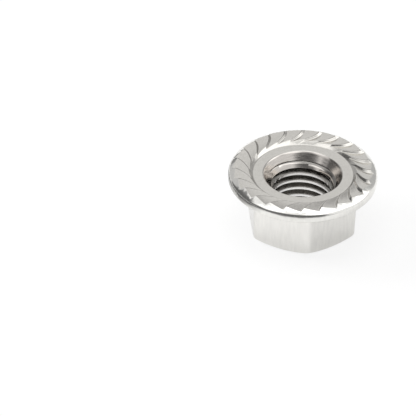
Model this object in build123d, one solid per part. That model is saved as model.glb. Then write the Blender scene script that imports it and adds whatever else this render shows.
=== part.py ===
"""A hexagon flange nut with a serrated bearing face, in millimetres.

The nut stands on the end of its hexagon, at z = 0, with the serrated flange on top. It is cold formed and tapped
as one piece, so it is one solid: a hexagon with a slight draft, a flange that flares out of it, and a ring of
ratchet teeth pressed into the flange face. The tapped hole is cut at the thread's minor diameter.
"""

import os
from math import cos, degrees, radians, sin, sqrt, tan

from build123d import *

# Thread
THREAD_DIAMETER = 16.0
THREAD_PITCH = 2.0

# Hexagon
HEX_FLATS = 23.9                # across flats, under the flange
HEX_DRAFT = 1.6                 # degrees per side, narrower towards the free end
HEX_CORNER_RADIUS = 1.6
HEX_END_DIAMETER = 20.4         # flat end, inside its rolled chamfer
HEX_CHAMFER_DIAMETER = 22.6     # circle where the flat and the chamfer's slope would meet
HEX_CHAMFER_ANGLE = 30.0        # slope of the chamfer at the corners, from the end face
HEX_TURN = 6.6                  # degrees, first corner from -Y towards +X

# Flange
NUT_HEIGHT = 15.6
FLANGE_DIAMETER = 34.3
RIM_HEIGHT = 1.95               # straight edge of the flange
RIM_TOP_BREAK = 0.25            # small flats that take the edges off the rim
RIM_BOTTOM_BREAK = 0.45
FLARE_ANGLE = 17.0              # underside at the rim, from horizontal
FLARE_RADIUS = 21.0             # hollow curve of the underside
BEVEL_WIDTH = 1.65              # outer bevel of the bearing face, measured radially
BEVEL_HEIGHT = 1.05

# Bearing face
FACE_DISH = 8.0                 # degrees the crests fall towards the ring, so the outer ends bite first
TOOTH_COUNT = 24
TOOTH_DEPTH_OUTER = 0.65        # crest to valley, at the rim
TOOTH_DEPTH_INNER = 0.33        # and at the ring
CREST_LAND = 0.12               # narrow land left on each crest
BITE_WIDTH = 0.5                # plan width of a tooth's steep side
TOOTH_SWIRL = 22.0              # degrees a crest runs round between the rim and the ring
TOOTH_TURN = 0.9                # degrees, first crest from +X at the rim
RING_DIAMETER = 23.2            # flat ring inside the teeth
RING_DEPTH = 1.35               # below the top of the nut
RING_WALL_ANGLE = 45.0

# Mouths of the tapped hole
FLANGE_MOUTH_DIAMETER = 18.2
HEX_MOUTH_DIAMETER = 17.5
MOUTH_ANGLE = 60.0              # included angle of both countersinks
MOUTH_LIP = 0.3                 # broken edge round each mouth, measured radially
MOUTH_LIP_ANGLE = 30.0          # from the end face

CUT_PAST = 1.0                  # how far cutting shapes run past the metal
CREST_OVERRUN = 0.04            # how far a tooth cut's slopes run on above its crests
CUT_SECTIONS = 6                # sections along a tooth cut

bore_radius = (THREAD_DIAMETER - 5 / 8 * sqrt(3) * THREAD_PITCH) / 2
flange_radius = FLANGE_DIAMETER / 2
rim_top = NUT_HEIGHT - BEVEL_HEIGHT
rim_bottom = rim_top - RIM_HEIGHT
crest_end = flange_radius - BEVEL_WIDTH
ring_level = NUT_HEIGHT - RING_DEPTH
ring_radius = RING_DIAMETER / 2
tooth_pitch = 360 / TOOTH_COUNT


def turned(outline):
    """Solid of revolution about Z of a closed outline drawn as radius and height."""
    return revolve(Plane.XZ * outline, Axis.Z)


def corner_of(outline, place):
    """The outline's corner nearest a place given as radius and height."""
    return outline.vertices().sort_by_distance(place)[0]


def hexagon():
    """Drafted hexagon with round corners, its free end rolled into a chamfer."""
    plan = RegularPolygon(HEX_FLATS / 2, 6, major_radius=False, rotation=HEX_TURN - 90)
    prism = extrude(plan, rim_bottom)
    prism = draft(prism.faces().filter_by(Axis.Z, reverse=True), Plane.XY.offset(rim_bottom), -HEX_DRAFT)
    corners = prism.edges().filter_by(lambda edge: edge.bounding_box().size.Z > rim_bottom / 2)
    prism = fillet(corners, HEX_CORNER_RADIUS)

    end_radius = HEX_END_DIAMETER / 2
    chamfer_radius = HEX_CHAMFER_DIAMETER / 2
    chamfer_rise = (flange_radius - chamfer_radius) * tan(radians(HEX_CHAMFER_ANGLE))
    roll = Bezier((end_radius, 0), (chamfer_radius, 0), (flange_radius, chamfer_rise))
    rest = Polyline((flange_radius, chamfer_rise), (flange_radius, rim_top), (0, rim_top), (0, 0), (end_radius, 0))
    return prism & turned(make_face([roll, rest]))


def face_level(radius):
    """Height of the dished bearing face, where the crests lie."""
    return NUT_HEIGHT - (crest_end - radius) * tan(radians(FACE_DISH))


def flange():
    """Flange blank: hollow underside, rim with broken edges, bevel and dished top."""
    rim_foot = (flange_radius, rim_bottom)
    inward = (-cos(radians(FLARE_ANGLE)), -sin(radians(FLARE_ANGLE)))
    sweep = degrees((flange_radius - bore_radius) / FLARE_RADIUS)
    underside = JernArc(rim_foot, inward, FLARE_RADIUS, sweep)
    inner = underside @ 1
    top = Polyline(
        (inner.X, inner.Y),
        (0, inner.Y),
        (0, face_level(0)),
        (crest_end, NUT_HEIGHT),
        (flange_radius, rim_top),
        rim_foot,
    )
    outline = make_face([underside, top])
    outline = chamfer(corner_of(outline, (flange_radius, rim_top)), RIM_TOP_BREAK)
    return turned(chamfer(corner_of(outline, rim_foot), RIM_BOTTOM_BREAK))


def ring_cut():
    """Cut that leaves the flat ring between the hole and the teeth."""
    top = NUT_HEIGHT + CUT_PAST
    top_radius = ring_radius + (top - ring_level) / tan(radians(RING_WALL_ANGLE))
    return turned(
        make_face(Polyline((0, ring_level), (ring_radius, ring_level), (top_radius, top), (0, top), close=True))
    )


def tooth_section(radius):
    """Upright section of one tooth space, where the crest before it crosses this radius."""
    inwardness = (flange_radius - radius) / (flange_radius - ring_radius)
    crest = Vector(radius, 0).rotate(Axis.Z, TOOTH_TURN + TOOTH_SWIRL * inwardness**3)
    next_crest = crest.rotate(Axis.Z, tooth_pitch)
    along = (next_crest - crest).normalized()
    depth = TOOTH_DEPTH_OUTER + (TOOTH_DEPTH_INNER - TOOTH_DEPTH_OUTER) * inwardness
    up = Vector(0, 0, 1)
    ramp_top = crest + along * (CREST_LAND / 2) + up * face_level(radius)
    bite_top = next_crest - along * (CREST_LAND / 2) + up * face_level(radius)
    valley = bite_top - along * BITE_WIDTH - up * depth
    ramp_top += (ramp_top - valley).normalized() * CREST_OVERRUN
    bite_top += (bite_top - valley).normalized() * CREST_OVERRUN
    lift = up * CUT_PAST
    return make_face(Polyline(ramp_top, valley, bite_top, bite_top + lift, ramp_top + lift, close=True))


def tooth_cuts():
    """One tooth space, from past the rim to the ring, repeated round the axis."""
    outer = flange_radius + CUT_PAST
    step = (outer - ring_radius) / (CUT_SECTIONS - 1)
    cut = loft([tooth_section(outer - step * count) for count in range(CUT_SECTIONS)])
    return [Rot(Z=tooth_pitch * count) * cut for count in range(TOOTH_COUNT)]


def mouth(diameter, level, outward):
    """Outline of a countersunk mouth, from past its end face to the bore. Outward is 1 for up and -1 for down."""
    lip_slope = tan(radians(MOUTH_LIP_ANGLE))
    wall_slope = tan(radians(90 - MOUTH_ANGLE / 2))
    wall_radius = diameter / 2 - MOUTH_LIP
    lip_foot = level - outward * MOUTH_LIP * lip_slope
    throat = lip_foot - outward * (wall_radius - bore_radius) * wall_slope
    past = level + outward * CUT_PAST
    return [(0, past), (diameter / 2 + CUT_PAST / lip_slope, past), (wall_radius, lip_foot), (bore_radius, throat)]


def hole():
    """Tapping bore with a countersunk mouth at each end."""
    upper = mouth(FLANGE_MOUTH_DIAMETER, ring_level, 1)
    lower = mouth(HEX_MOUTH_DIAMETER, 0, -1)
    return turned(make_face(Polyline(*upper, *reversed(lower), close=True)))


def flange_nut():
    """The whole nut."""
    blank = hexagon() + flange()
    return blank - ring_cut() - tooth_cuts() - hole()


nut = flange_nut()
os.makedirs("parts", exist_ok=True)
export_step(nut, "parts/flange_nut.step")
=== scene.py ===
# %% [markdown]
# # A serrated flange nut
#
# This nut is cold formed: a slug of stainless steel is pressed into a hexagon with a flange, teeth are
# pressed into the flange's bearing face, and the hole is tapped last. The model follows that order. A blank
# is turned, the hexagon and the teeth are pressed into it, its edges are rounded, and a tap cuts the thread.
#
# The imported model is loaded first. It holds the nut at its real size, and the detailed nut made here takes
# its place. Both share one frame, in metres, with the end of the hexagon on the table and the teeth on top.

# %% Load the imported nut
from math import atan2, ceil, cos, pi, radians, sin, sqrt, tan

import bmesh
import bpy
from mathutils import Matrix, Vector


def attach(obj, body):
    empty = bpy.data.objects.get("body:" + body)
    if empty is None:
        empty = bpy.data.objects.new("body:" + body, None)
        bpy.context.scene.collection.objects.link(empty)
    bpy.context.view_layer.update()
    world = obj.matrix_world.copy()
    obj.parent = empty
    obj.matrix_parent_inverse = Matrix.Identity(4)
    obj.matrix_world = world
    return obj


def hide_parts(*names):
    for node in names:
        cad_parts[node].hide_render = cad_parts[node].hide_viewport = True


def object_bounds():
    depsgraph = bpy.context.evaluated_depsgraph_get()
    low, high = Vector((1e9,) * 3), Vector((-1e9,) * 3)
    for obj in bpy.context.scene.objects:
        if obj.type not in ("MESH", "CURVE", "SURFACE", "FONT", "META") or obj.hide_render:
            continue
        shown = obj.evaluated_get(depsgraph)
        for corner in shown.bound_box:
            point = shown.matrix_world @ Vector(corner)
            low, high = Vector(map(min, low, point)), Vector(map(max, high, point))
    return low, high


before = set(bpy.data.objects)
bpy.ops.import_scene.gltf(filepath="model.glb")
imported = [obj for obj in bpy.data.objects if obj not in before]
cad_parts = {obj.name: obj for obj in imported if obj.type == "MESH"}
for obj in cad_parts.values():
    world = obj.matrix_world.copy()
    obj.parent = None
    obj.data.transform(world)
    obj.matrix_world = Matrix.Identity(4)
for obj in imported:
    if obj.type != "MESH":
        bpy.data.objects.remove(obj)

cad_low, cad_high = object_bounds()
print("packed nut, mm:", [round(1000 * size, 2) for size in cad_high - cad_low])

# %% [markdown]
# ## Sizes
#
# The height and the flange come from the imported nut. The rest are the sizes that a maker's drawing gives: a
# hexagon for a 24 mm spanner, an M16 x 2 thread and 24 teeth. The bore follows from the thread, whose ridges
# are five eighths as deep as a sharp V of 60 degrees. `MM` turns millimetres into metres.

# %% Sizes from the drawing
MM = 0.001

NUT_HEIGHT = cad_high.z - cad_low.z
FLANGE_RADIUS = (cad_high.x - cad_low.x) / 2

THREAD_PITCH = 2 * MM
THREAD_RADIUS = 8 * MM
BORE_RADIUS = THREAD_RADIUS - 5 / 16 * sqrt(3) * THREAD_PITCH

HEX_INRADIUS = 11.95 * MM
HEX_DRAFT = radians(1.6)
HEX_CORNER_RADIUS = 1.6 * MM
HEX_TURN = radians(6.6)

BEVEL_HEIGHT = 1.05 * MM
BEVEL_WIDTH = 1.65 * MM
RIM_HEIGHT = 1.95 * MM
RIM_TOP = NUT_HEIGHT - BEVEL_HEIGHT
RIM_BOTTOM = RIM_TOP - RIM_HEIGHT
BEVEL_START = FLANGE_RADIUS - BEVEL_WIDTH

TOOTH_COUNT = 24
RING_RADIUS = 11.6 * MM
RING_DEPTH = 1.35 * MM
RING_LEVEL = NUT_HEIGHT - RING_DEPTH

print("bore, mm:", round(2000 * BORE_RADIUS, 3), "and flange, mm:", round(2000 * FLANGE_RADIUS, 2))

# %% [markdown]
# ## The turned blank
#
# Everything that is round about the nut is one closed outline spun about its axis: the ring, the bevel, the
# rim, the flare under the flange, the end and the bore. One spin gives even columns of faces, and rows that
# each belong to one part of the outline. A layer remembers which row a vertex is in, because each pressing
# works on one part. The outline's points start straight above one another, and the pressing gives them their
# real places.
#
# Each tooth gets one column at its crest, eleven down its ramp and eight up its steep side. The stops say how
# far along the ramp or the side a column lies. They crowd towards the corners, so the rounding is smooth and
# the ramps stay light. The bore is left plain until the tap cuts it.

# %% Name the columns of a tooth and the rows of the outline
RAMP_STOPS = [0, 0.02, 0.07, 0.17, 0.3, 0.45, 0.6, 0.74, 0.86, 0.935, 0.975]
BITE_STOPS = [0, 0.1, 0.25, 0.45, 0.65, 0.8, 0.92, 1]
COLUMNS_PER_TOOTH = 1 + len(RAMP_STOPS) + len(BITE_STOPS)

# From the mouth under the teeth outwards, then down the outside and back up through the bore
rows = ["mouth"] + ["ring"] * 4 + ["ring edge", "tooth inner"] + ["tooth"] * 11 + ["tooth outer"]
rows += ["rim top", "rim bottom"] + ["flare"] * 6 + ["root"] + ["flat"] * 3 + ["hex edge"] + ["roll"] * 4
rows += ["end edge", "end mouth"] + ["end wall"] * 5 + ["bore low", "bore high"] + ["mouth wall"] * 6


def share_of(row):
    """How far a row lies from the row before its part of the outline to the row after it."""
    first = row
    while rows[first - 1] == rows[row]:
        first -= 1
    return (row - first + 1) / (rows.count(rows[row]) + 1)


print(COLUMNS_PER_TOOTH, "columns a tooth, and", rows.count("tooth"), "of", len(rows), "rows cross the teeth")

# %% Spin one column of the outline into a closed shell
bm = bmesh.new()
row_layer = bm.verts.layers.int.new("row")

outline = []
for row in range(len(rows)):
    vertex = bm.verts.new((FLANGE_RADIUS, 0, -row * MM))
    vertex[row_layer] = row
    outline.append(vertex)
edges = [bm.edges.new((a, b)) for a, b in zip(outline, outline[1:] + outline[:1])]

bmesh.ops.spin(
    bm,
    geom=outline + edges,
    cent=(0, 0, 0),
    axis=(0, 0, 1),
    angle=2 * pi,
    steps=TOOTH_COUNT * COLUMNS_PER_TOOTH,
    use_merge=True,
)
print("blank:", len(bm.verts), "vertices and", len(bm.faces), "faces")

# %% [markdown]
# ## The hexagon
#
# The spanner flats lean in by a small draft, so that the nut leaves its die, and their corners are rounded.
# A hexagon could be extruded and joined to the flange, but then it would have columns of its own. Here it is
# a distance from the axis at each angle, so the blank's own columns carry it: a straight flat, then an arc
# at the corner.

# %% Distance from the axis to the hexagon
HALF_SIDE = pi / 6


def mix(start, end, share):
    """The value that lies this share of the way from start to end."""
    return start + (end - start) * share


def hex_radius(angle, height):
    """From the axis to the side of the hexagon, at an angle in plan and a height."""
    inradius = HEX_INRADIUS - (RIM_BOTTOM - height) * tan(HEX_DRAFT)
    from_corner = (angle + pi / 2 - HEX_TURN + HALF_SIDE) % (2 * HALF_SIDE) - HALF_SIDE
    corner_centre = (inradius - HEX_CORNER_RADIUS) / cos(HALF_SIDE)
    arc_end = atan2(HEX_CORNER_RADIUS / 2, corner_centre + HEX_CORNER_RADIUS * cos(HALF_SIDE))
    if abs(from_corner) > arc_end:
        return inradius / cos(HALF_SIDE - abs(from_corner))
    across = corner_centre * sin(from_corner)
    return corner_centre * cos(from_corner) + sqrt(HEX_CORNER_RADIUS**2 - across**2)


widths = [2000 * hex_radius(HEX_TURN + turn, RIM_BOTTOM) for turn in (0, pi / 2)]
print("across flats and corners, mm:", [round(width, 2) for width in widths])

# %% [markdown]
# ## The flare and the chamfer
#
# The underside of the flange is a hollow curve, and the free end of the hexagon is rolled into a soft
# chamfer. Both are round and the hexagon isn't, so the lines where they meet it run up and down, as they do
# on a real nut. The place is worked out for each column: a first guess is corrected a few times, which
# settles quickly because both surfaces are smooth.

# %% The hollow flare under the flange
FLARE_ANGLE = radians(17)
FLARE_RADIUS = 21 * MM


def flare_height(radius):
    """Height of the underside of the flange."""
    centre_radius = FLANGE_RADIUS + FLARE_RADIUS * sin(FLARE_ANGLE)
    centre_height = RIM_BOTTOM - FLARE_RADIUS * cos(FLARE_ANGLE)
    return centre_height + sqrt(FLARE_RADIUS**2 - (centre_radius - radius) ** 2)


print("underside next to a flat, mm up:", round(1000 * flare_height(HEX_INRADIUS), 2))

# %% The rolled chamfer at the free end
END_RADIUS = 10.2 * MM
CHAMFER_RADIUS = 11.3 * MM
CHAMFER_SLOPE = tan(radians(30))
CHAMFER_RISE = (FLANGE_RADIUS - CHAMFER_RADIUS) * CHAMFER_SLOPE


def roll_share(radius):
    """How far out a radius lies along the chamfer's curve, from 0 at the flat end."""
    curve = FLANGE_RADIUS - 2 * CHAMFER_RADIUS + END_RADIUS
    slope = CHAMFER_RADIUS - END_RADIUS
    return (sqrt(slope**2 + curve * (radius - END_RADIUS)) - slope) / curve


def roll_point(share):
    """Radius and height along the chamfer's curve."""
    low_side = mix(END_RADIUS, CHAMFER_RADIUS, share)
    high_side = mix(CHAMFER_RADIUS, FLANGE_RADIUS, share)
    return mix(low_side, high_side, share), CHAMFER_RISE * share**2


def roll_height(radius):
    """Height of the chamfer at a radius."""
    return roll_point(roll_share(radius))[1]


print("chamfer below a flat, mm up:", round(1000 * roll_height(HEX_INRADIUS), 2))


# %% Where they meet the hexagon
def settle(height_at, angle, steps=6):
    """Radius where a turned surface meets the hexagon, at an angle in plan."""
    radius = HEX_INRADIUS
    for _ in range(steps):
        radius = hex_radius(angle, height_at(radius))
    return radius


for turn in (0, 30):
    angle = HEX_TURN - pi / 2 + radians(turn)
    heights = [1000 * height_at(settle(height_at, angle)) for height_at in (roll_height, flare_height)]
    print(turn, "degrees from a corner, the side runs, mm up:", [round(height, 2) for height in heights])

# %% [markdown]
# ## The teeth
#
# Each tooth is a long ramp that falls from one crest and a short steep side that climbs to the next, so the
# nut turns easily one way and bites the other way. The crests run nearly straight in from the rim and then
# sweep round as they near the ring. There the teeth get shallower and narrower together, so that their ramps
# keep one slope. The corners are rounded, because steel doesn't fill a sharp corner of a punch.
#
# A cutter could be made for each tooth and taken out of the face, but it would leave long thin faces with
# uneven shading. Here a tooth is a depth along the way from one crest to the next, and the columns follow it.

# %% Depth of a tooth along the way from one crest to the next
TOOTH_DEPTH_OUTER = 0.65 * MM
TOOTH_DEPTH_INNER = 0.33 * MM
CREST_LAND = 0.12 * MM
BITE_WIDTH = 0.5 * MM
CREST_ROUND = 0.05 * MM
VALLEY_ROUND = 0.10 * MM


def inwardness(radius):
    """0 at the rim and 1 at the ring."""
    return (FLANGE_RADIUS - radius) / (FLANGE_RADIUS - RING_RADIUS)


def rounded_lower(a, b, round_off):
    """The lower of two slopes, with the corner between them rounded."""
    near = max(round_off - abs(a - b), 0) / round_off
    return min(a, b) - near**2 * round_off / 4


def tooth_stop(column, radius):
    """Way along from the crest and depth, for one of the columns of a tooth."""
    pitch = 2 * radius * sin(pi / TOOTH_COUNT)
    deepest = mix(TOOTH_DEPTH_OUTER, TOOTH_DEPTH_INNER, inwardness(radius))
    ramp = pitch - BITE_WIDTH - CREST_LAND
    stop = column % COLUMNS_PER_TOOTH
    if stop == 0:
        way = 0
    elif stop <= len(RAMP_STOPS):
        way = CREST_LAND / 2 + ramp * RAMP_STOPS[stop - 1]
    else:
        way = CREST_LAND / 2 + ramp + BITE_WIDTH * BITE_STOPS[stop - 1 - len(RAMP_STOPS)]
    falling = (way - CREST_LAND / 2) * deepest / ramp
    rising = (pitch - CREST_LAND / 2 - way) * deepest / BITE_WIDTH
    depth = rounded_lower(falling, rising, VALLEY_ROUND)
    return way / pitch, -rounded_lower(-depth, 0, CREST_ROUND)


valley = max(tooth_stop(column, FLANGE_RADIUS)[1] for column in range(COLUMNS_PER_TOOTH))
print("deepest at the rim, mm:", round(1000 * valley, 3))

# %% How far the teeth reach, from the wall of the ring to the bevel at the rim
FACE_DISH = tan(radians(8))
WALL_SLOPE = tan(radians(45))
BEVEL_SLOPE = (NUT_HEIGHT - RIM_TOP) / (FLANGE_RADIUS - BEVEL_START)


def tooth_level(column, radius):
    """Height of a tooth: the crests fall towards the ring, so that their outer ends bite first."""
    return NUT_HEIGHT - (BEVEL_START - radius) * FACE_DISH - tooth_stop(column, radius)[1]


def tooth_ends(column, steps=6):
    """Radius of a column where it leaves the wall of the ring and where it meets the bevel."""
    inner, outer = RING_RADIUS, BEVEL_START
    for _ in range(steps):
        inner = RING_RADIUS + (tooth_level(column, inner) - RING_LEVEL) / WALL_SLOPE
        outer = BEVEL_START + (NUT_HEIGHT - tooth_level(column, outer)) / BEVEL_SLOPE
    return inner, outer


for name, column in (("crest", 0), ("valley", len(RAMP_STOPS))):
    print(name, "runs from radius", [round(1000 * radius, 2) for radius in tooth_ends(column)], "mm")

# %% [markdown]
# ## The mouths of the hole
#
# Each end of the hole is countersunk at 60 degrees, so that a bolt finds its way in and the first turn of
# the thread isn't torn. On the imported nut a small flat, the lip, breaks the edge of each countersink. Here
# that edge is rounded with the others later, and the countersinks keep the depth that the lip gives them.

# %% Depth of a countersunk mouth
MOUTH_RADIUS = 9.1 * MM
END_MOUTH_RADIUS = 8.75 * MM
MOUTH_SLOPE = tan(radians(60))
MOUTH_LIP = 0.3 * MM
MOUTH_LIP_DEPTH = MOUTH_LIP * tan(radians(30))


def mouth_depth(radius):
    """How deep a countersunk mouth of this radius goes, with its lip."""
    return MOUTH_LIP_DEPTH + (radius - MOUTH_LIP - BORE_RADIUS) * MOUTH_SLOPE


depths = [1000 * mouth_depth(radius) for radius in (MOUTH_RADIUS, END_MOUTH_RADIUS)]
print("mouths, mm deep:", [round(depth, 2) for depth in depths])

# %% [markdown]
# ## Pressing the blank
#
# Every vertex of the blank is now put where its row and its column say. The columns follow the swept crests
# over the teeth. Across the flat ring they ease back to the straight bore, which costs nothing there because
# the ring is flat.

# %% Places on the ring and the teeth
TOOTH_SWIRL = radians(22)
TOOTH_TURN = radians(0.9)


def column_turn(column, radius):
    """Where a column runs in plan. The crests swing round with the cube of the way inwards."""
    tooth = column // COLUMNS_PER_TOOTH * 2 * pi / TOOTH_COUNT
    along = tooth_stop(column, radius)[0] * 2 * pi / TOOTH_COUNT
    return tooth + along + (TOOTH_TURN + TOOTH_SWIRL * inwardness(radius) ** 3)


def place_on_ring(part, share, column):
    """Angle, radius and height of a vertex of the flat ring."""
    share = {"mouth": 0, "ring": share, "ring edge": 1}[part]
    angle = mix(column_turn(column, FLANGE_RADIUS), column_turn(column, RING_RADIUS), share)
    return angle, mix(MOUTH_RADIUS, RING_RADIUS, share), RING_LEVEL


def place_on_tooth(part, share, column):
    """Angle, radius and height of a vertex of the teeth."""
    inner, outer = tooth_ends(column)
    if part == "tooth inner":
        return column_turn(column, inner), inner, RING_LEVEL + (inner - RING_RADIUS) * WALL_SLOPE
    if part == "tooth outer":
        return column_turn(column, outer), outer, NUT_HEIGHT - (outer - BEVEL_START) * BEVEL_SLOPE
    radius = mix(inner, outer, share)
    return column_turn(column, radius), radius, tooth_level(column, radius)


crest_end = place_on_tooth("tooth outer", 1, 0)
print("crests end at radius and height, mm:", [round(1000 * size, 2) for size in crest_end[1:]])


# %% Places on the hexagon and in the hole
def place_on_hexagon(part, share, angle):
    """Radius and height of a vertex of the flare, of a flat or of the chamfer."""
    root = settle(flare_height, angle)
    edge = roll_share(settle(roll_height, angle))
    if part == "flare":
        radius = mix(FLANGE_RADIUS, root, share)
        return radius, flare_height(radius)
    if part in ("roll", "end edge"):
        share = {"roll": share, "end edge": 1}[part]
        return roll_point(edge * (1 - share))
    share = {"root": 0, "flat": share, "hex edge": 1}[part]
    height = mix(flare_height(root), roll_point(edge)[1], share)
    return hex_radius(angle, height), height


def place_in_hole(part, share):
    """Radius and height of a vertex of a countersink or of the bore."""
    if part in ("end mouth", "end wall", "bore low"):
        share = {"end mouth": 0, "end wall": share, "bore low": 1}[part]
        return mix(END_MOUTH_RADIUS, BORE_RADIUS, share), mouth_depth(END_MOUTH_RADIUS) * share
    share = {"bore high": 0, "mouth wall": share}[part]
    return mix(BORE_RADIUS, MOUTH_RADIUS, share), RING_LEVEL - mouth_depth(MOUTH_RADIUS) * (1 - share)


bore_ends = [place_in_hole(part, 1)[1] for part in ("bore low", "bore high")]
print("plain bore between, mm up:", [round(1000 * height, 2) for height in bore_ends])

# %% Press the blank
RING = {"mouth", "ring", "ring edge"}
TEETH = {"tooth inner", "tooth", "tooth outer"}
RIM = {"rim top": RIM_TOP, "rim bottom": RIM_BOTTOM}
HEXAGON = {"flare", "root", "flat", "hex edge", "roll", "end edge"}


def pressed(row, column):
    """Angle, radius and height of a vertex of the pressed blank."""
    part, share = rows[row], share_of(row)
    if part in RING:
        return place_on_ring(part, share, column)
    if part in TEETH:
        return place_on_tooth(part, share, column)
    angle = column_turn(column, FLANGE_RADIUS)
    if part in RIM:
        return angle, FLANGE_RADIUS, RIM[part]
    if part in HEXAGON:
        return angle, *place_on_hexagon(part, share, angle)
    return angle, *place_in_hole(part, share)


column_angle = 2 * pi / (TOOTH_COUNT * COLUMNS_PER_TOOTH)
stop_layer = bm.verts.layers.int.new("stop")
for vertex in bm.verts:
    column = round(atan2(vertex.co.y, vertex.co.x) / column_angle)
    vertex[stop_layer] = column % COLUMNS_PER_TOOTH
    angle, radius, height = pressed(vertex[row_layer], column)
    vertex.co = (radius * cos(angle), radius * sin(angle), height)

bmesh.ops.recalc_face_normals(bm, faces=bm.faces)
print("pressed blank, cubic mm:", round(bm.calc_volume(signed=True) / MM**3))

# %% [markdown]
# ## Which finish goes where
#
# Six finishes meet on the nut. The formed skin is bright, and the pressed face is duller where the punch
# left it. Along each crest of the teeth a narrow dark line is painted, as painted shade. The mouths of the
# hole are countersunk, and the bore between them is burnished by its punch; its colour is lighter than steel,
# as a painted highlight on the crests of the thread. The last is the torn steel that a tap leaves, which
# comes with the tap. It is rougher, and its dark colour is painted shade in the thread's grooves.
#
# Faces could be picked by where they lie, but the rows and columns already name every part, so each face
# takes its finish from the rows and columns that it spans. The materials themselves are made further on.

# %% Give each face its finish
FINISHES = ["formed steel", "pressed steel", "crest steel"]
FINISHES += ["countersunk steel", "burnished steel", "tapped steel"]
PRESSED = {"ring", "ring edge"} | TEETH
# The columns at and beside each crest, which take the painted shade along the crests
CREST_SHADE_STOPS = {COLUMNS_PER_TOOTH - 1, 0, 1, 2}
BORE = {"bore low", "bore high"}
MOUTHS = {"end wall", "mouth wall"}


def finish_of(face):
    """The finish for the rows and columns that a face spans."""
    parts = {rows[vertex[row_layer]] for vertex in face.verts}
    stops = {vertex[stop_layer] for vertex in face.verts}
    if parts <= TEETH and stops <= CREST_SHADE_STOPS:
        return "crest steel"
    if parts == BORE:
        return "burnished steel"
    if parts & MOUTHS:
        return "countersunk steel"
    if parts & PRESSED and "rim top" not in parts:
        return "pressed steel"
    return "formed steel"


for face in bm.faces:
    face.material_index = FINISHES.index(finish_of(face))

for index, finish in enumerate(FINISHES):
    print(finish, sum(face.material_index == index for face in bm.faces), "faces")

# %% [markdown]
# ## Rounded edges
#
# No edge of a formed part is sharp. Each row where two surfaces meet is a loop of edges right round the nut,
# and a bevel of a few hundredths to a few tenths of a millimetre rounds it. A Bevel modifier would give all
# of them one width, and the operator takes one loop at a time. The root under the flange is rounded too,
# because a sharp corner there would crack.

# %% Bevel the loops of edges
EDGE_ROUNDS = {
    "rim top": 0.6 * MM,
    "rim bottom": 0.45 * MM,
    "tooth outer": 0.06 * MM,
    "tooth inner": 0.08 * MM,
    "ring edge": 0.15 * MM,
    "mouth": 0.2 * MM,
    "root": 0.3 * MM,
    "hex edge": 0.2 * MM,
    "end mouth": 0.3 * MM,
}
ROUND_SEGMENTS = 3

for part, width in EDGE_ROUNDS.items():
    row = rows.index(part)
    loop = [edge for edge in bm.edges if all(vertex[row_layer] == row for vertex in edge.verts)]
    bmesh.ops.bevel(
        bm,
        geom=loop,
        offset=width,
        offset_type="OFFSET",
        affect="EDGES",
        segments=ROUND_SEGMENTS,
        profile=0.5,
        material=-1,
        clamp_overlap=True,
        loop_slide=True,
    )
    print(part, len(loop), "edges rounded")

# %% Make the nut's mesh
nut_mesh = bpy.data.meshes.new("serrated_flange_nut")
bm.to_mesh(nut_mesh)
bm.free()
nut = bpy.data.objects.new("serrated_flange_nut", nut_mesh)
bpy.context.scene.collection.objects.link(nut)
for finish in FINISHES:
    nut_mesh.materials.append(bpy.data.materials.new(finish.replace(" ", "_")))
print("nut before tapping:", len(nut_mesh.polygons), "faces")

# %% [markdown]
# ## The tap
#
# A tap is a screw with the thread's own section. Its cutting ridge is a tapered bar, 60 degrees between the
# flanks with a flat on top an eighth of the pitch wide, spun upwards about the axis as it rises one pitch a
# turn. The ridge reaches a little inside the bore, so that it cuts cleanly through the bore's wall. It starts
# well below the nut and ends well above, so its ends never show.

# %% Make the tap's ridge
TAP_START = radians(45)
TAP_STEPS = 96
TAP_OVERLAP = 0.3 * MM
FLANK = tan(radians(30))

tap_low = -2 * THREAD_PITCH
tap_turns = ceil((NUT_HEIGHT - 2 * tap_low) / THREAD_PITCH)
inner = BORE_RADIUS - TAP_OVERLAP
half_top = THREAD_PITCH / 16
half_root = half_top + (THREAD_RADIUS - inner) * FLANK
section = [(inner, -half_root), (THREAD_RADIUS, -half_top), (THREAD_RADIUS, half_top), (inner, half_root)]

bm = bmesh.new()
corners = []
for radius, height in section:
    place = (radius * cos(TAP_START), radius * sin(TAP_START), tap_low + height)
    corners.append(bm.verts.new(place))
sides = [bm.edges.new((a, b)) for a, b in zip(corners, corners[1:] + corners[:1])]
bmesh.ops.spin(
    bm,
    geom=corners + sides,
    cent=(0, 0, 0),
    axis=(0, 0, 1),
    dvec=(0, 0, THREAD_PITCH / TAP_STEPS),
    angle=2 * pi * tap_turns,
    steps=TAP_STEPS * tap_turns,
)
bmesh.ops.holes_fill(bm, edges=[edge for edge in bm.edges if edge.is_boundary], sides=4)
bmesh.ops.recalc_face_normals(bm, faces=bm.faces)
heights = [1000 * vertex.co.z for vertex in bm.verts]
print("tap:", tap_turns, "turns, mm up:", round(min(heights), 2), "to", round(max(heights), 2))

# %% Make the tap's mesh
tap_mesh = bpy.data.meshes.new("tap")
bm.to_mesh(tap_mesh)
bm.free()
tap = bpy.data.objects.new("tap", tap_mesh)
bpy.context.scene.collection.objects.link(tap)
# The tap carries the torn steel, whose dark colour is painted shade in the thread's grooves
tap_mesh.materials.append(nut_mesh.materials[FINISHES.index("tapped steel")])
print("tap:", len(tap_mesh.polygons), "faces of", tap_mesh.materials[0].name)

# %% [markdown]
# ## Tapping the thread
#
# The thread could be modelled turn by turn, but then it would have to be ended by hand at both mouths. A
# Boolean cuts the tap out of the bore instead, and the thread runs out in the countersinks just as a real
# one does. Its exact solver copes with the shallow angle there, and it hands the tap's dark finish over to
# the faces that it cuts. The result is kept as the nut's mesh, because the tap is thrown away afterwards.

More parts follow.
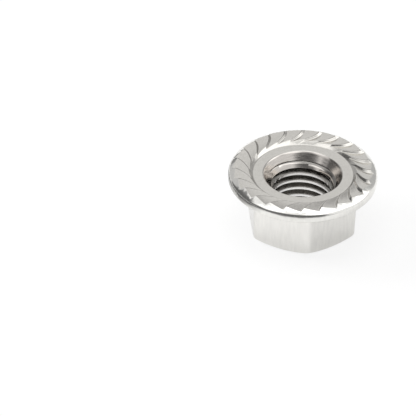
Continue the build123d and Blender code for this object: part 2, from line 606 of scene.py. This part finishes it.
# %% Cut the thread and keep the result
cut = nut.modifiers.new("tapped hole", "BOOLEAN")
cut.object = tap
cut.operation = "DIFFERENCE"
cut.solver = "EXACT"
cut.material_mode = "TRANSFER"
tapped_mesh = bpy.data.meshes.new_from_object(nut.evaluated_get(bpy.context.evaluated_depsgraph_get()))
nut.modifiers.clear()
nut.data = tapped_mesh
tapped_mesh.name = "serrated_flange_nut"
bpy.data.objects.remove(tap)
print("tapped nut:", len(tapped_mesh.polygons), "faces in", len(tapped_mesh.materials), "finishes")

# %% [markdown]
# ## Smooth shading
#
# Smooth shading hides the facets of the round parts. It has to stop at the thread's edges, which turn by
# more than the angle given here. The narrow faces of a rounded edge would also tilt the light on the wide
# flat beside them, so a Weighted Normal modifier lets the wide faces decide.

# %% Smooth the shading, but not over the thread's edges
SHARP_FROM = radians(42)
WIDE_FACES_WEIGHT = 80

tapped_mesh.shade_smooth()
tapped_mesh.set_sharp_from_angle(angle=SHARP_FROM)
weigh = nut.modifiers.new("flat faces stay flat", "WEIGHTED_NORMAL")
weigh.keep_sharp = True
weigh.weight = WIDE_FACES_WEIGHT
print("sharp edges:", sum(edge.use_edge_sharp for edge in tapped_mesh.edges))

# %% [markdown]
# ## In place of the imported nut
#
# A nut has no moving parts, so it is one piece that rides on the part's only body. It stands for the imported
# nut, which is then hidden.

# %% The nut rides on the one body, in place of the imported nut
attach(nut, "root")
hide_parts("flange_nut")
print("piece:", nut.name)

# %% [markdown]
# ## Tool marks
#
# Bare steel has almost no colour of its own, so what shows is its roughness and the fine marks left by the
# tools. Each finish could have a texture of its own, but they differ only in how the marks are stretched and
# how strong they are, so one node group serves all six. A noise in it is stretched along the way that the
# tool moved. It gives the tone, the roughness and the height together, as a scratch does.

# %% A node group for the fine marks that forming and cutting leave
GRAIN_DETAIL = 4.0

marks = bpy.data.node_groups.new("tool_marks", "ShaderNodeTree")
for name, kind, start in (
    ("Grains Per Metre", "NodeSocketVector", (1, 1, 1)),
    ("Tone Range", "NodeSocketFloat", 0.1),
    ("Roughness", "NodeSocketFloat", 0.2),
    ("Roughness Range", "NodeSocketFloat", 0.05),
):
    socket = marks.interface.new_socket(name, in_out="INPUT", socket_type=kind)
    socket.default_value = start
for name in ("Tone", "Roughness", "Height"):
    marks.interface.new_socket(name, in_out="OUTPUT", socket_type="NodeSocketFloat")

entry = marks.nodes.new("NodeGroupInput")
leave = marks.nodes.new("NodeGroupOutput")
place = marks.nodes.new("ShaderNodeTexCoord")
stretch = marks.nodes.new("ShaderNodeVectorMath")
stretch.operation = "MULTIPLY"
marks.links.new(place.outputs["Object"], stretch.inputs[0])
marks.links.new(entry.outputs["Grains Per Metre"], stretch.inputs[1])
grain = marks.nodes.new("ShaderNodeTexNoise")
grain.inputs["Scale"].default_value = 1.0
grain.inputs["Detail"].default_value = GRAIN_DETAIL
marks.links.new(stretch.outputs["Vector"], grain.inputs["Vector"])
marks.links.new(grain.outputs["Fac"], leave.inputs["Height"])
print("tool marks take:", [item.name for item in marks.interface.items_tree if item.in_out == "INPUT"])

# %% Tone and roughness that follow the grain
GRAIN_LOW = 0.3
GRAIN_HIGH = 0.7


def worked_out(operation, a, b):
    """A Math node in the group. Each of the two values is a number or a socket."""
    node = marks.nodes.new("ShaderNodeMath")
    node.operation = operation
    for socket, value in zip(node.inputs, (a, b)):
        if isinstance(value, (int, float)):
            socket.default_value = value
        else:
            marks.links.new(value, socket)
    return node.outputs["Value"]


def follow_grain(name, middle, spread):
    """Give an output of the group a value that goes up and down with the grain, round a middle."""
    node = marks.nodes.new("ShaderNodeMapRange")
    node.inputs["From Min"].default_value = GRAIN_LOW
    node.inputs["From Max"].default_value = GRAIN_HIGH
    marks.links.new(grain.outputs["Fac"], node.inputs["Value"])
    marks.links.new(worked_out("SUBTRACT", middle, spread), node.inputs["To Min"])
    marks.links.new(worked_out("ADD", middle, spread), node.inputs["To Max"])
    marks.links.new(node.outputs["Result"], leave.inputs[name])


follow_grain("Tone", 1.0, entry.outputs["Tone Range"])
follow_grain("Roughness", entry.outputs["Roughness"], entry.outputs["Roughness Range"])
print("tool marks give:", [socket.name for socket in leave.inputs if socket.is_linked])

# %% [markdown]
# ## Steel
#
# Every finish is the same metal shader with the marks in it. Their tone multiplies the steel's colour, their
# roughness goes in as it is, and their height raises the surface by a fiftieth of a millimetre at most. Real
# geometry as fine as that would need millions of faces, so a Bump node tilts the light instead.

# %% A steel with tool marks
MARK_HEIGHT = 0.02 * MM


def make_steel(name, color, grains_per_metre, tone_range, roughness, roughness_range, bump):
    """Make one of the nut's materials a steel with tool marks."""
    material = bpy.data.materials[name]
    material.use_nodes = True
    nodes, links = material.node_tree.nodes, material.node_tree.links
    shader = nodes["Principled BSDF"]
    shader.inputs["Metallic"].default_value = 1.0
    group = nodes.new("ShaderNodeGroup")
    group.node_tree = marks
    group.inputs["Grains Per Metre"].default_value = grains_per_metre
    group.inputs["Tone Range"].default_value = tone_range
    group.inputs["Roughness"].default_value = roughness
    group.inputs["Roughness Range"].default_value = roughness_range
    tint = nodes.new("ShaderNodeMix")
    tint.data_type = "RGBA"
    tint.blend_type = "MULTIPLY"
    tint.inputs["Factor"].default_value = 1.0
    tint.inputs["A"].default_value = (*color, 1)
    links.new(group.outputs["Tone"], tint.inputs["B"])
    links.new(tint.outputs["Result"], shader.inputs["Base Color"])
    links.new(group.outputs["Roughness"], shader.inputs["Roughness"])
    raise_marks = nodes.new("ShaderNodeBump")
    raise_marks.inputs["Strength"].default_value = bump
    raise_marks.inputs["Distance"].default_value = MARK_HEIGHT
    links.new(group.outputs["Height"], raise_marks.inputs["Height"])
    links.new(raise_marks.outputs["Normal"], shader.inputs["Normal"])
    print(name, "has roughness", roughness, "give or take", roughness_range)


# %% [markdown]
# ## The formed skin
#
# The die drags the steel along the hexagon as the nut leaves it, so the marks are long and upright: few
# grains to the metre in height, and many across. The skin is smooth, so it shows the table as a mirror would.

# %% Formed steel
make_steel(
    "formed_steel",
    color=(0.81, 0.80, 0.77),
    grains_per_metre=(1400, 1400, 250),
    tone_range=0.04,
    roughness=0.12,
    roughness_range=0.03,
    bump=0.1,
)

# %% [markdown]
# ## The pressed face, and painted shade on its crests
#
# A punch stamps its own fine grain into the face, the same in all directions, and leaves it duller than the
# skin. Along the crests the colour is much darker, as painted shade along each crest.

# %% Pressed steel, and painted shade on the crests
make_steel(
    "pressed_steel",
    color=(0.56, 0.545, 0.515),
    grains_per_metre=(1800, 1800, 1800),
    tone_range=0.05,
    roughness=0.2,
    roughness_range=0.05,
    bump=0.3,
)
make_steel(
    "crest_steel",
    # Painted shade: a colour this dark draws a shaded line along each crest
    color=(0.20, 0.19, 0.18),
    grains_per_metre=(1800, 1800, 1800),
    tone_range=0.15,
    roughness=0.3,
    roughness_range=0.05,
    bump=0.3,
)

# %% [markdown]
# ## The steel in the hole
#
# Here every tool turns, so the marks run round the hole: many grains to the metre in height, and few across.
# The countersinks are cut. The crests of the thread keep the smooth bore that the punch burnished, and their
# colour is lighter than steel, as a painted highlight. The flanks are torn by the tap, so they are rougher,
# and their dark colour is painted shade deep in the grooves.

# %% Countersunk steel, bore steel with a painted highlight, and torn steel with painted shade
make_steel(
    "countersunk_steel",
    color=(0.56, 0.53, 0.50),
    grains_per_metre=(500, 500, 4000),
    tone_range=0.08,
    roughness=0.16,
    roughness_range=0.05,
    bump=0.4,
)
make_steel(
    "burnished_steel",
    # Painted highlight: a colour lighter than steel, so that the crests of the thread shine brighter
    color=(0.93, 0.92, 0.91),
    grains_per_metre=(500, 500, 4000),
    tone_range=0.04,
    roughness=0.10,
    roughness_range=0.03,
    bump=0.1,
)
make_steel(
    "tapped_steel",
    # Painted shade: this dark colour stands for the shade deep in the thread's grooves
    color=(0.26, 0.25, 0.235),
    grains_per_metre=(500, 500, 4000),
    tone_range=0.10,
    roughness=0.22,
    roughness_range=0.06,
    bump=0.3,
)

# %% [markdown]
# ## The table
#
# A nut like this is shown on white. The table could be lit until it is white, but the steel would be too
# bright by then. Instead its shader mixes lit matt paper with a plain white glow that only the camera and
# shiny surfaces see, so the paper looks white to both, while it still takes the nut's soft shadow. Light
# Path tells the rays apart.

# %% How much of the white a ray sees
def white_share(nodes, links, camera_share, gloss_share):
    """The first share for rays from the camera, the second for gloss and glass, and 0 for all other light."""
    path = nodes.new("ShaderNodeLightPath")
    gloss = nodes.new("ShaderNodeMath")
    gloss.operation = "MAXIMUM"
    links.new(path.outputs["Is Glossy Ray"], gloss.inputs[0])
    links.new(path.outputs["Is Transmission Ray"], gloss.inputs[1])
    reflected = nodes.new("ShaderNodeMath")
    reflected.operation = "MULTIPLY"
    reflected.inputs[1].default_value = gloss_share
    links.new(gloss.outputs["Value"], reflected.inputs[0])
    total = nodes.new("ShaderNodeMath")
    total.operation = "MULTIPLY_ADD"
    total.inputs[1].default_value = camera_share
    links.new(path.outputs["Is Camera Ray"], total.inputs[0])
    links.new(reflected.outputs["Value"], total.inputs[2])
    return total.outputs["Value"]


# %% White paper
PAPER_TONE = 0.93
GLOW_TO_CAMERA = 0.85
GLOW_TO_STEEL = 0.45

paper = bpy.data.materials.new("white_paper")
paper.use_nodes = True
nodes, links = paper.node_tree.nodes, paper.node_tree.links
sheet = nodes["Principled BSDF"]
sheet.inputs["Base Color"].default_value = (PAPER_TONE, PAPER_TONE, PAPER_TONE, 1)
sheet.inputs["Roughness"].default_value = 0.9
sheet.inputs["Specular IOR Level"].default_value = 0.0
glow = nodes.new("ShaderNodeEmission")
blend = nodes.new("ShaderNodeMixShader")
links.new(white_share(nodes, links, GLOW_TO_CAMERA, GLOW_TO_STEEL), blend.inputs["Fac"])
links.new(sheet.outputs["BSDF"], blend.inputs[1])
links.new(glow.outputs["Emission"], blend.inputs[2])
links.new(blend.outputs["Shader"], nodes["Material Output"].inputs["Surface"])
print("paper glows by", GLOW_TO_CAMERA, "to the camera and", GLOW_TO_STEEL, "to the steel")

# %% The table
TABLE_HALF_WIDTH = 1.5

bm = bmesh.new()
bmesh.ops.create_grid(bm, x_segments=1, y_segments=1, size=TABLE_HALF_WIDTH)
table_mesh = bpy.data.meshes.new("table")
bm.to_mesh(table_mesh)
bm.free()
table_mesh.materials.append(paper)
table = bpy.data.objects.new("table", table_mesh)
bpy.context.scene.collection.objects.link(table)
print("table, m across:", 2 * TABLE_HALF_WIDTH)

# %% [markdown]
# ## The white room
#
# Round the table the room is white too. It lights the scene gently, but the camera and the steel see it at
# full white.

# %% A white room
ROOM_LIGHT = 0.35

world = bpy.data.worlds.new("white_room")
bpy.context.scene.world = world
world.use_nodes = True
nodes, links = world.node_tree.nodes, world.node_tree.links
level = nodes.new("ShaderNodeMapRange")
level.inputs["To Min"].default_value = ROOM_LIGHT
level.inputs["To Max"].default_value = 1.0
links.new(white_share(nodes, links, camera_share=1.0, gloss_share=1.0), level.inputs["Value"])
links.new(level.outputs["Result"], nodes["Background"].inputs["Strength"])
nodes["Background"].inputs["Color"].default_value = (1, 1, 1, 1)
print("room light on matt surfaces:", ROOM_LIGHT)

# %% [markdown]
# ## Lamps
#
# Two softboxes light the table. The overhead one keeps the paper even. The key lamp stands at the left, a
# little to the back, and lays the nut's shadow to the right, so the table on that side, and the hexagon's
# face that reflects it, are a little darker. Bare steel shows whatever is round it, and a lamp would show in
# it as a square. So both lamps are left out of the reflections, and what the steel sees is set apart from
# what lights the paper, in the next step.

# %% Two softboxes
LAMP_DISTANCE = 0.6


def seen_at(azimuth, elevation, distance):
    """The place that the nut sees in this direction, in degrees, at this distance."""
    turn, rise = radians(azimuth), radians(elevation)
    return distance * Vector((cos(rise) * cos(turn), cos(rise) * sin(turn), sin(rise)))


def add_softbox(name, azimuth, elevation, size, radiance):
    """A square lamp that faces the nut, looks this bright and stays out of reflections."""
    lamp = bpy.data.lights.new(name, "AREA")
    lamp.shape = "SQUARE"
    lamp.size = size
    lamp.energy = radiance * pi * size**2
    place = seen_at(azimuth, elevation, LAMP_DISTANCE)
    holder = bpy.data.objects.new(name, lamp)
    holder.location = place
    holder.rotation_euler = (-place).to_track_quat("-Z", "Y").to_euler()
    holder.visible_glossy = False
    bpy.context.scene.collection.objects.link(holder)
    print(name, "gives", round(lamp.energy, 2), "W")


add_softbox("overhead_softbox", azimuth=90, elevation=88, size=0.5, radiance=2.8)
add_softbox("key_softbox", azimuth=165, elevation=35, size=0.3, radiance=8.0)

# %% [markdown]
# ## Panels, cards and painted shade on the table
#
# In an all-white room steel looks like paper, so bright panels and dark cards round the nut give its curves
# something to show. A card could be a plain dark plane, but its edges would show in the metal as hard lines.
# Each of these is an oval that is clear at its edge and comes to its own level towards the middle, so that
# cards may overlap. Only shiny surfaces see them.

# %% A finish that is clear at its edge
def make_card_face(name, level, fade):
    """One level in the middle, and clearer over the outer share called fade."""
    card_face = bpy.data.materials.new(name)
    card_face.use_nodes = True
    nodes, links = card_face.node_tree.nodes, card_face.node_tree.links
    nodes.remove(nodes["Principled BSDF"])
    place = nodes.new("ShaderNodeTexCoord")
    from_middle = nodes.new("ShaderNodeVectorMath")
    from_middle.operation = "LENGTH"
    links.new(place.outputs["Object"], from_middle.inputs[0])
    clear = nodes.new("ShaderNodeMapRange")
    clear.interpolation_type = "SMOOTHSTEP"
    clear.inputs["From Min"].default_value = 1 - fade
    clear.inputs["From Max"].default_value = 1
    links.new(from_middle.outputs["Value"], clear.inputs["Value"])
    glow = nodes.new("ShaderNodeEmission")
    glow.inputs["Strength"].default_value = level
    blend = nodes.new("ShaderNodeMixShader")
    links.new(clear.outputs["Result"], blend.inputs["Fac"])
    links.new(glow.outputs["Emission"], blend.inputs[1])
    links.new(nodes.new("ShaderNodeBsdfTransparent").outputs["BSDF"], blend.inputs[2])
    links.new(blend.outputs["Shader"], nodes["Material Output"].inputs["Surface"])
    return card_face


# %% An oval card
CARD_SIDES = 48
CARD_DISTANCE = 0.45
TABLE_SHADE_LIFT = 0.5 * MM


def add_card(name, place, half_width, half_height, level, fade):
    """A level oval card that only shiny surfaces see."""
    bm = bmesh.new()
    bmesh.ops.create_circle(bm, cap_ends=True, segments=CARD_SIDES, radius=1)
    mesh = bpy.data.meshes.new(name)
    bm.to_mesh(mesh)
    bm.free()
    mesh.materials.append(make_card_face(name, level, fade))
    card = bpy.data.objects.new(name, mesh)
    card.location = place
    card.scale = (half_width, half_height, 1)
    bpy.context.scene.collection.objects.link(card)
    card.visible_camera = False
    card.visible_diffuse = False
    card.visible_shadow = False
    print(name, "is", [round(2 * size, 2) for size in card.scale[:2]], "m")
    return card


def stand_card(name, azimuth, elevation, half_width, half_height, level, fade):
    """A card that faces the nut, as far across and up as the nut sees it, in degrees."""
    place = seen_at(azimuth, elevation, CARD_DISTANCE)
    half_sizes = [CARD_DISTANCE * tan(radians(angle)) for angle in (half_width, half_height)]
    card = add_card(name, place, *half_sizes, level, fade)
    card.rotation_euler = (-place).to_track_quat("Z", "Y").to_euler()


def lay_table_shade(name, x, y, half_width, half_height, level, fade):
    """A grey sheet on the table that only shiny surfaces see, as painted shade on the table. Its place and
    half sizes are in metres.
    """
    add_card(name, Vector((x, y, TABLE_SHADE_LIFT)), half_width, half_height, level, fade)


# %% [markdown]
# ## What the steel shows
#
# The panels stand high and whiten the bevel and the steep sides of the teeth. The cards stand lower and draw
# the dark lines along the rim and the crests, and the dark side of the countersink. Grey sheets on the table
# do the same for the rim, which looks down at the table; they are painted shade of the table round the nut.
# A level of 1 is as bright as the room.

# %% Bright panels, by azimuth, elevation, half width and half height in degrees
stand_card("ceiling_panel", 90, 88, 26, 26, level=1.8, fade=0.5)
stand_card("front_right_panel", 322, 52, 38, 20, level=2.0, fade=0.5)
stand_card("right_panel", 10, 34, 24, 18, level=2.2, fade=0.5)
stand_card("front_left_panel", 212, 52, 20, 20, level=1.8, fade=0.5)

# %% Grey cards, by azimuth, elevation, half width and half height in degrees
stand_card("front_card", 262, 12, 50, 32, level=0.15, fade=0.35)
stand_card("left_front_card", 204, 2, 26, 26, level=0.1, fade=0.4)
stand_card("left_card", 166, 16, 27, 36, level=0.15, fade=0.3)
stand_card("back_left_card", 128, 24, 24, 34, level=0.6, fade=0.5)
stand_card("back_low_card", 104, 3, 38, 15, level=0.25, fade=0.45)
stand_card("back_right_card", 54, 22, 28, 36, level=0.52, fade=0.4)

# %% Painted shade on the table, as grey sheets, by place, half width and half height in metres
# Painted shade: these sheets darken the table only where the steel reflects it
lay_table_shade("front_cloth", -0.05, -0.175, 0.22, 0.15, level=0.2, fade=0.3)
lay_table_shade("left_cloth", -0.105, 0.01, 0.09, 0.08, level=0.15, fade=0.25)
lay_table_shade("back_cloth", -0.03, 0.02, 0.02, 0.02, level=0.6, fade=0.9)

# %% [markdown]
# ## Camera
#
# A long lens from about 1.84 m, looking down by 35.5 degrees and rolled a little, shows the teeth, the
# thread and two sides of the hexagon with hardly any perspective. The nut stands right of the middle of the
# frame. The camera is moved sideways until it does, because turning it would show the nut from another side.

# %% Aim the camera
CAMERA_DOWN = radians(35.55)
CAMERA_ROLL = radians(1.7)
LENS_PIXELS = 8000
PIXELS_PER_MM = 4.348
FRAME_PIXELS = 416
NUT_PIXEL_X = 302.02
NUT_PIXEL_Y = 195.92
NUT_MIDDLE = Vector((0, 0, 8 * MM))
SENSOR_WIDTH = 36

forward = Vector((0, cos(CAMERA_DOWN), -sin(CAMERA_DOWN)))
across = Vector((1, 0, 0))
upward = Vector((0, sin(CAMERA_DOWN), cos(CAMERA_DOWN)))
right = cos(CAMERA_ROLL) * across + sin(CAMERA_ROLL) * upward
up = cos(CAMERA_ROLL) * upward - sin(CAMERA_ROLL) * across
offset = (NUT_PIXEL_X - FRAME_PIXELS / 2) * right + (FRAME_PIXELS / 2 - NUT_PIXEL_Y) * up
eye = NUT_MIDDLE - (offset + LENS_PIXELS * forward) / PIXELS_PER_MM * MM

camera_data = bpy.data.cameras.new("camera")
camera_data.sensor_width = SENSOR_WIDTH
camera_data.lens = LENS_PIXELS * SENSOR_WIDTH / FRAME_PIXELS
camera_data.clip_end = 10
camera = bpy.data.objects.new("camera", camera_data)
camera.matrix_world = Matrix((right, up, -forward)).transposed().to_4x4()
camera.location = eye
bpy.context.scene.collection.objects.link(camera)
bpy.context.scene.camera = camera
print("camera at", [round(c, 3) for c in eye], "with a lens of", round(camera_data.lens, 1), "mm")

# %% [markdown]
# ## Finish
#
# In the Standard view a colour renders about as it is written.

# %% Render colours as they are written
bpy.context.scene.view_settings.view_transform = "Standard"
